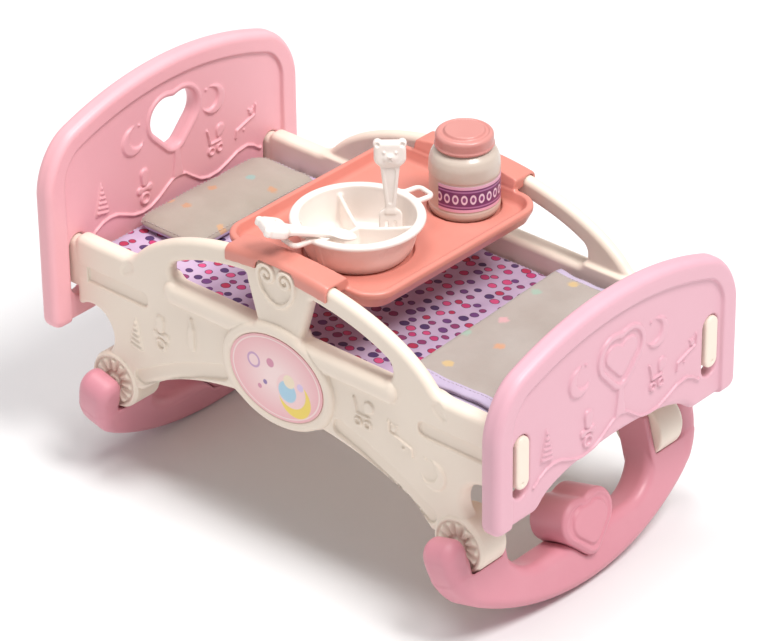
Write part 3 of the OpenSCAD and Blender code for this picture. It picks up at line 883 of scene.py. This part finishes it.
def swell(obj, pressure, cap, frames=20):
    """Fills a sewn cloth shell with pressure, as stuffing does, and keeps the result in its mesh."""
    rest = np.array([v.co for v in obj.data.vertices])
    cloth = obj.modifiers.new("fill", "CLOTH")
    cloth.settings.use_pressure = True
    cloth.settings.uniform_pressure_force = pressure
    cloth.settings.effector_weights.gravity = 0
    cloth.settings.quality = 5
    cloth.settings.mass = 0.2
    cloth.point_cache.frame_start, cloth.point_cache.frame_end = 1, frames
    for f in range(1, frames + 1):
        scene.frame_set(f)
    moved = np.array([v.co for v in evaluated(obj).data.vertices])
    obj.modifiers.remove(cloth)
    scene.frame_set(1)
    step_by = moved - rest
    length = np.linalg.norm(step_by, axis=1, keepdims=True)
    result = rest + step_by * np.minimum(1, cap * MM / np.maximum(length, 1e-9))
    obj.data.vertices.foreach_set("co", result.ravel())
    obj.data.update()


low, high = box_of("pillow")
pillow_cloth = printed_cloth("pillow_cloth", colour("ada297"), colour("a19589"),
                             ("e0b25c", "c98a5a", "7fb3ae", "d9a06a"), 33, 0.11, 0.34)
lilac_back = printed_cloth("lilac_back", colour("beb0c8"), colour("b2a3be"),
                           ("b2a3be", "beb0c8"), 40, 0.1, 0.2)
vertices, faces, top_faces, loop = pad(low + (3, 4, 0.3), high - (3, 4, 3), 2.8, 15, 2.0, 30, 0.38, 9.0)
pillow = piece("pillow_pad", vertices, faces, pillow_cloth)
pillow.data.materials.append(lilac_back)
pillow.data.polygons.foreach_set("material_index", [int(i >= top_faces) for i in range(len(faces))])
swell(pillow, 4.0, 4.0)
co = np.array([v.co for v in pillow.data.vertices]) / MM
co = np.clip(co, low + (0.2, 0, 0), high - (0.2, 0, 0.4))
pillow.data.vertices.foreach_set("co", (co * MM).ravel())
soften = pillow.modifiers.new("soften", "SUBSURF")
soften.levels = soften.render_levels = 1
stand_for(pillow, "pillow", "pillow")
stitched("pillow_stitches", co[loop] + (0, 0, 0.05), True, "b9aea2", "pillow", radius=0.26)


# ---- Blanket ----
# A fleece blanket with a beige printed face and a lilac back, folded in three along the bed and
# laid at the foot end. Its near edge shows the layers and a lilac hem.
BLANKET_FOLDS, BLANKET_T, RUN_POINTS = 3, 3.4, 44


def blanket_sheet(low, high):
    """A strip that runs back and forth in three layers, as a grid along its own length."""
    layer = (high[2] - low[2] - BLANKET_T) / (BLANKET_FOLDS - 1)
    path = []
    reach = layer / 2
    for i in range(BLANKET_FOLDS):
        z = low[2] + BLANKET_T / 2 + i * layer
        run = np.linspace(low[0] + 4 + reach, high[0] - 4 - reach, RUN_POINTS)
        run = run if i % 2 else run[::-1]
        path += [(x, z) for x in run]
        if i < BLANKET_FOLDS - 1:
            side = 1 if i % 2 else -1
            end = run[-1]
            for k in range(1, 6):
                turn = math.pi * k / 6
                path.append((end + side * reach * math.sin(turn), z + reach * (1 - math.cos(turn))))
    return np.array(path)


low, high = box_of("blanket")
path = blanket_sheet(low, high)
cross = np.linspace(low[1] + 3, high[1] - 3, 84)
lengths = np.concatenate([[0], np.cumsum(np.hypot(*np.diff(path, axis=0).T))])
s, y = np.meshgrid(lengths, cross, indexing="ij")
x = np.repeat(path[:, :1], len(cross), 1)
z = np.repeat(path[:, 1:], len(cross), 1)
skew = (y - low[1]) / (high[1] - low[1])
x = x - 5 * skew * np.clip((high[0] - x) / 90, 0, 1) + 4 * (1 - skew) * np.clip((high[0] - x) / 90, 0, 1)
wave = soft_noise(x, y, ((0.045, 0.03, 0.2), (-0.03, 0.07, 1.4), (0.11, -0.05, 2.2)))
level_share = (z - low[2]) / (high[2] - low[2])
z = z + wave * 0.6 * level_share - 1.2 * level_share
inset = np.minimum(y - cross[0], cross[-1] - y)
edge = np.clip(1 - inset / 14, 0, 1)
z = z - edge ** 2 * 2.4 * level_share + np.sin(x * 0.24 + 2 * level_share) * 0.55 * edge * level_share
y = y + np.sin(s * 0.09) * 0.8 * edge + 6.5 * level_share ** 2 * (1 - skew) * np.sign(level_share)
vertices = np.stack([x, y, z], 2).reshape(-1, 3)
index = np.arange(s.size).reshape(s.shape)
faces = np.stack([index[:-1, :-1], index[:-1, 1:], index[1:, 1:], index[1:, :-1]], 2).reshape(-1, 4)
blanket_cloth = printed_cloth("blanket_cloth", colour("aca29b"), colour("a1958d"),
                              ("d9925e", "8fb8a4", "e0a0a8", "d8b46a"), 38, 0.1, 0.77)
blanket = piece("blanket_sheet", vertices, faces, blanket_cloth)
for _ in range(2):
    blanket.data.materials.append(lilac_back)
HEM = 9.0
in_hem = inset[:-1, :-1].ravel() < HEM
blanket.data.polygons.foreach_set("material_index", in_hem.astype(int).tolist())
thick = blanket.modifiers.new("thick", "SOLIDIFY")
thick.thickness = BLANKET_T * MM * 0.92
thick.offset = 0
thick.material_offset = 1
thick.material_offset_rim = 1
stand_for(blanket, "blanket", "blanket")
grid = vertices.reshape(s.shape + (3,))
top_run = grid[1 - RUN_POINTS:-1]
rows = [top_run[:, j] + (0, 0, BLANKET_T * 0.46 + 0.15) for j in (3, -4)]
hems = [stitched("blanket_stitches_" + side, row, False, "b5a5c2", "blanket")
        for side, row in zip(("near", "far"), rows)]


# ---- Tray ----
# The tray is one injection-moulded piece in coral plastic. A raised rim runs round its basin,
# with a round recess each for the bowl and the jar, and a saddle on each side clips over a rail.
tray_low, tray_high = box_of("tray")
RIM_Z, BASIN_Z, RECESS_Z = 257.5, 248.0, 244.5
TRAY_HALF = (84.0, 104.0)
BOWL_AT, JAR_AT = (8.0, -38.0), (27.0, 70.0)


def tray_field(x, y, z):
    plan = rect(x, y, *TRAY_HALF, 24)
    drop = RIM_Z - z
    inner_wall = plan + 5.2 + 0.42 * drop
    wall = plan + 0.5 * np.maximum(drop - 5, 0)
    outer = meet(wall, np.maximum(z - RIM_Z, tray_low[2] - z), 2.3)
    basin = meet(inner_wall, BASIN_Z - z, 3.0)
    for (cx, cy), r in ((BOWL_AT, 45), (JAR_AT, 30.5)):
        hollow = meet(np.hypot(x - cx, y - cy) - r, RECESS_Z - z, 1.6)
        basin = np.minimum(basin, hollow)
    solid = np.maximum(outer, -basin)
    side = np.abs(y)
    top = oval(x, z - RAIL_Z, RAIL_A + 2.9, RAIL_B + 2.9)
    skirt = -oval(x, z - RAIL_Z, RAIL_A - 10, RAIL_B - 10)
    saddle = meet(top, side - 127.7, 6.5)
    saddle = meet(np.maximum(saddle, skirt), np.maximum(np.abs(x) - 54, 100 - side), 1.4)
    rail = oval(x, z - RAIL_Z, RAIL_A + 0.3, RAIL_B + 0.3)
    rail = meet(rail, np.maximum(side - 125.2, 112.6 - side), 4.5)
    saddle = np.maximum(saddle, -rail)
    inner = np.maximum(np.maximum(side - 112.8, z - 256), 90 - side)
    saddle = np.maximum(saddle, -inner)
    saddle = np.maximum(saddle, -np.maximum(inner_wall, BASIN_Z - z))
    notch = rect(x, z - 255, 21, 11.2, 7)
    saddle = np.maximum(saddle, -np.maximum(notch, 125 - side))
    return join(solid, saddle, 3.0)


CORAL = satin_plastic("coral_plastic", colour("da8a7c"), colour("d48072"), colour("e0998c"), 0.34, 0.25)
made = skin(tray_low, tray_high, 1.25, tray_field)
stand_for(piece("tray_shell", *made, CORAL), "tray", "tray")


# ---- Bowl ----
# A half-gloss ivory feeding bowl, moulded in one piece with a rolled rim, three compartments and
# two loop handles. It stands loose in the tray's larger recess.
WARE_Z = RECESS_Z + 0.1
BOWL_H = 34.0


def bowl_field(x, y, z):
    u, v, w = x - BOWL_AT[0], y - BOWL_AT[1], z - WARE_Z
    r = np.hypot(u, v)
    reach = 36 + 13.7 * (np.clip(w, 0.02, BOWL_H) / BOWL_H) ** 0.4
    outer = meet((r - reach) * 0.93, np.maximum(-w, w - BOWL_H + 0.5), 2)
    hollow = meet((r - reach) * 0.93 + 2.4, 2.5 - w, 6)
    thirds = 1e3
    for a in (30, 150, 270):
        c, s = math.cos(math.radians(a)), math.sin(math.radians(a))
        along, across = u * c + v * s, np.abs(v * c - u * s)
        ridge = 22.5 + 5.5 * np.clip(along / 45, 0, 1) ** 2
        rib = meet(across - 1.6 - 0.05 * (ridge - w), w - ridge, 1.4)
        thirds = np.minimum(thirds, np.maximum(rib, -along))
    shell = np.maximum(outer, -hollow)
    shell = join(shell, np.maximum(thirds, (r - reach) * 0.93), 3.0)
    rim = rect(r - 51.3, w - 31.4, 3.4, 2.6, 2.5)
    shell = join(shell, rim, 2.0)
    turn = math.radians(78)
    along = np.abs(u * math.cos(turn) + v * math.sin(turn))
    across = v * math.cos(turn) - u * math.sin(turn)
    loop = np.hypot(rect(along - 57, across, 10.8, 9.2, 5), w - 31.6) - 2.3
    loop = np.maximum(loop, 50 - along)
    return join(shell, loop, 1.8)


def gloss_ivory(name, tone, deep):
    n = Nodes(name)
    cloud = n.ramp(n.noise(18.0, 3).outputs[0], 0.3, 0.7)
    base = n.mix(cloud, tone, deep)
    normal = n.bump(n.noise(90.0, 2).outputs[0], 0.0003, 0.3)
    normal = n.bump(n.noise(1500.0, 2).outputs[0], 0.00003, 0.4, normal)
    return n.set(Base_Color=base, Roughness=n.ramp(cloud, 0, 1, 0.26, 0.34), Coat_Weight=0.3,
                 Coat_Roughness=0.15, Normal=normal)


IVORY = gloss_ivory("ivory_plastic", colour("f6ece6"), colour("f1e5dc"))
made = skin(*box_of("bowl"), 0.95, bowl_field)
stand_for(piece("bowl_shell", *made, IVORY), "bowl", "bowl")


# ---- Spoon and fork ----
# Two flat-handled toy utensils in the same ivory plastic. Each grip ends in a small round-eared
# bear head. The spoon rests on the bowl's rim and the fork stands in a compartment.
CUTLERY_L = 84.0


def bear_head(a, b, c):
    """A plain square-cheeked bear head on the grip's end. a runs along the shaft, b across, c up."""
    skull = meet(rect(a - 11.8, b, 10.8, 12.9, 7), np.abs(c - 2) - 4.6, 3.6)
    for s in (-1, 1):
        ear = meet(np.hypot(a - 3.4, b - 9.8 * s) - 3.6, np.abs(c - 2) - 3.6, 2.2)
        skull = join(skull, ear, 0.8)
        dish = np.sqrt((a - 3.3) ** 2 + (b - 10 * s) ** 2 + (c - 6.6) ** 2) - 2.2
        skull = np.maximum(skull, -dish)
        eye = np.sqrt((a - 9.6) ** 2 + (b - 4.7 * s) ** 2 + (c - 6.2) ** 2) - 1.5
        skull = join(skull, eye, 0.5)
    muzzle = (np.sqrt(((a - 14.6) / 4.6) ** 2 + (b / 5.9) ** 2 + ((c - 6) / 2.5) ** 2) - 1) * 2.5
    nose = np.sqrt(((a - 12.9) / 1.3) ** 2 + (b / 1.9) ** 2 + ((c - 8.4) / 1.2) ** 2) * 1.2 - 1.2
    mouth = np.maximum(stroke(a, np.abs(b), [(14.2, 0), (16, 0), (17, 1.9)]) - 0.45, 7.6 - c)
    skull = join(join(skull, muzzle, 1.2), nose, 0.4)
    return np.maximum(skull, -mouth)


def grip(a, b, c):
    width = 8.6 - 4.4 * np.clip((a - 20) / 40, 0, 1) ** 0.8
    shaft = meet(np.abs(b) - width, np.maximum(np.abs(c - 2) - 2.2, np.maximum(18 - a, a - 64)), 1.7)
    groove = meet(taper(a, b, (28, 0), 4.6, (54, 0), 1.8), 3.5 - c, 0.6)
    return join(bear_head(a, b, c), np.maximum(shaft, -groove), 2.2)


def spoon_field(a, b, c):
    scoop = (np.sqrt(((a - 71.5) / 12.5) ** 2 + (b / 9.8) ** 2 + ((c - 3.4) / 4.6) ** 2) - 1) * 4.6
    scoop = np.maximum(scoop, c - 3.8)
    hollow = (np.sqrt(((a - 71.5) / 10.8) ** 2 + (b / 8.2) ** 2 + ((c - 4.4) / 3.8) ** 2) - 1) * 3.8
    return np.maximum(join(grip(a, b, c), scoop, 2.5), -hollow)


def fork_field(a, b, c):
    bend = c - 2 - 0.006 * np.maximum(a - 60, 0) ** 2
    head = meet(rect(a - 72, b, 11.5, 9.4, 6), np.abs(bend) - 1.7, 1.2)
    for s in (-1, 1):
        head = np.maximum(head, -rect(a - 80, b - 3.4 * s, 9.5, 1.2, 1.2))
    return join(grip(a, b, c), head, 2.5)


def placed(vertices, start, turn, dip):
    """Turns a utensil drawn along X from its head, first down by dip and then round by turn."""
    a, b, c = vertices.T
    turn, dip = math.radians(turn), math.radians(dip)
    x = a * math.cos(dip) + c * math.sin(dip)
    z = c * math.cos(dip) - a * math.sin(dip)
    return np.stack([start[0] + x * math.cos(turn) - b * math.sin(turn),
                     start[1] + x * math.sin(turn) + b * math.cos(turn), start[2] + z], 1)


for node, field, start, turn, dip in (("spoon", spoon_field, (-14.5, -127.5, 295.4), 63, 18.5),
                                      ("fork", fork_field, (13.1, -4.6, 334.8), -48, 86)):
    vertices, faces = skin((-1, -14, -4), (CUTLERY_L, 14, 11), 0.7, field)
    stand_for(piece(node + "_shell", placed(vertices, start, turn, dip), faces, IVORY), node,
              node)


# ---- Jar ----
# A round ivory food jar with a soft shoulder, a smooth coral screw lid with a raised disc, and
# a purple label wrapped most of the way round. The label has plain bands and a row of rings.
def turned(profile, segments=96):
    """A closed lathe shape from (radius, height) points that start and end on the axis."""
    ring = np.arange(segments) * 2 * math.pi / segments
    vertices = [(0, 0, profile[0][1])]
    for r, h in profile[1:-1]:
        vertices += [(r * math.cos(a), r * math.sin(a), h) for a in ring]
    vertices.append((0, 0, profile[-1][1]))
    last = len(vertices) - 1
    faces = [(0, 1 + (i + 1) % segments, 1 + i) for i in range(segments)]
    for k in range(len(profile) - 3):
        a = 1 + k * segments
        faces += [(a + i, a + (i + 1) % segments, a + segments + (i + 1) % segments, a + segments + i)
                  for i in range(segments)]
    a = last - segments
    faces += [(a + i, a + (i + 1) % segments, last) for i in range(segments)]
    return np.array(vertices, float), faces


def rounded(points, r, count=5):
    """The same profile with each inner corner rounded."""
    result = [points[0]]
    for before, here, after in zip(points[:-2], points[1:-1], points[2:]):
        p, q, s = (Vector(v) for v in (before, here, after))
        a, b = (p - q), (s - q)
        reach = min(r, a.length * 0.45, b.length * 0.45)
        a, b = q + a.normalized() * reach, q + b.normalized() * reach
        for i in range(count + 1):
            t = i / count
            v = a * (1 - t) ** 2 + q * 2 * t * (1 - t) + b * t ** 2
            result.append((v.x, v.y))
    return result + [points[-1]]


JAR_R, JAR_H, RING_PITCH = 29.0, 58.0, 7.2
body_profile = rounded([(0, 0), (24, 0), (28, 2.6), (29.5, 6), (29.5, 9.6), (28.95, 11), (28.95, 36),
                        (29.5, 37.4), (29.5, 41), (29, 48), (27, 54), (23.4, 57.4), (21.5, 58.4),
                        (21.5, 66), (19.5, 66), (19.5, 57), (25, 50), (25.5, 4), (20, 2), (0, 2)], 2.2)
vertices, faces = turned(body_profile)
# The jar is in the bowl's ivory plastic. This darker copy of it has painted shade: the shade on the jar's
# body is painted into its colour.
JAR_IVORY_PAINTED_SHADE = gloss_ivory("jar_ivory_painted_shade", colour("d2c4b8"), colour("cbbbad"))
jar = piece("jar_shell", vertices + (*JAR_AT, WARE_Z), faces, JAR_IVORY_PAINTED_SHADE)
stand_for(jar, "jar_body", "jar")


def lid_field(x, y, z):
    u, v, w = x - JAR_AT[0], y - JAR_AT[1], z - WARE_Z - JAR_H - 0.2
    r = np.hypot(u, v)
    outer = meet(r - 24.7 + 0.9 * step(3.4 - w, 1.0, 1.2), np.maximum(-w, w - 13.4), 3.4)
    disc = meet(r - 16.5, np.maximum(w - 15, 8 - w), 1.4)
    moat = rect(r - 18.6, w - 14.2, 1.6, 1.6, 0.8)
    outer = np.maximum(join(outer, disc, 0.8), -moat)
    hollow = np.maximum(r - 21.9, w - 8.6)
    return np.maximum(outer, -hollow)


made = skin(*box_of("jar_lid"), 0.8, lid_field)
LID_CORAL = satin_plastic("lid_plastic", colour("cf8c85"), colour("c9827c"), colour("d69a93"), 0.36, 0.2)
stand_for(piece("jar_lid_shell", *made, LID_CORAL), "jar_lid", "jar_lid")


def label_print():
    n = Nodes("label_print")
    corner = (JAR_AT[0] * MM, JAR_AT[1] * MM, (WARE_Z + 12) * MM)
    x, y, z = n.split(n.vector("SUBTRACT", n.place, corner))
    along = n.math("MULTIPLY", n.math("ARCTAN2", y, x), JAR_R)
    up_label = n.math("MULTIPLY", z, 1 / MM)
    base = n.mix(n.ramp(n.noise(60.0, 2).outputs[0], 0.3, 0.7), colour("6e3767"), colour("7c4075"))
    for at, half, tone in ((1.2, 1.2, "e9b6cf"), (21.8, 1.2, "e9b6cf"),
                           (4.6, 0.5, "b57fae"), (18.4, 0.5, "b57fae")):
        line = n.ramp(n.math("ABSOLUTE", n.math("SUBTRACT", up_label, at)), half, half + 0.25, 1.0, 0.0)
        base = n.mix(line, base, colour(tone))
    share = n.math("SUBTRACT", n.math("FRACT", n.math("DIVIDE", along, RING_PITCH)), 0.5)
    near = n.length(n.math("MULTIPLY", share, RING_PITCH),
                    n.math("MULTIPLY", n.math("SUBTRACT", up_label, 11.5), 0.62))
    base = n.mix(n.ramp(near, 2.5, 2.8, 1.0, 0.0), base, colour("f1d9ea"))
    base = n.mix(n.ramp(near, 1.3, 1.6, 1.0, 0.0), base, colour("8a4b83"))
    return n.set(Base_Color=base, Roughness=0.32, Coat_Weight=0.4, Coat_Roughness=0.15,
                 Normal=n.bump(n.noise(900.0, 2).outputs[0], 0.00003, 0.4))


paint_node("jar_label", label_print())
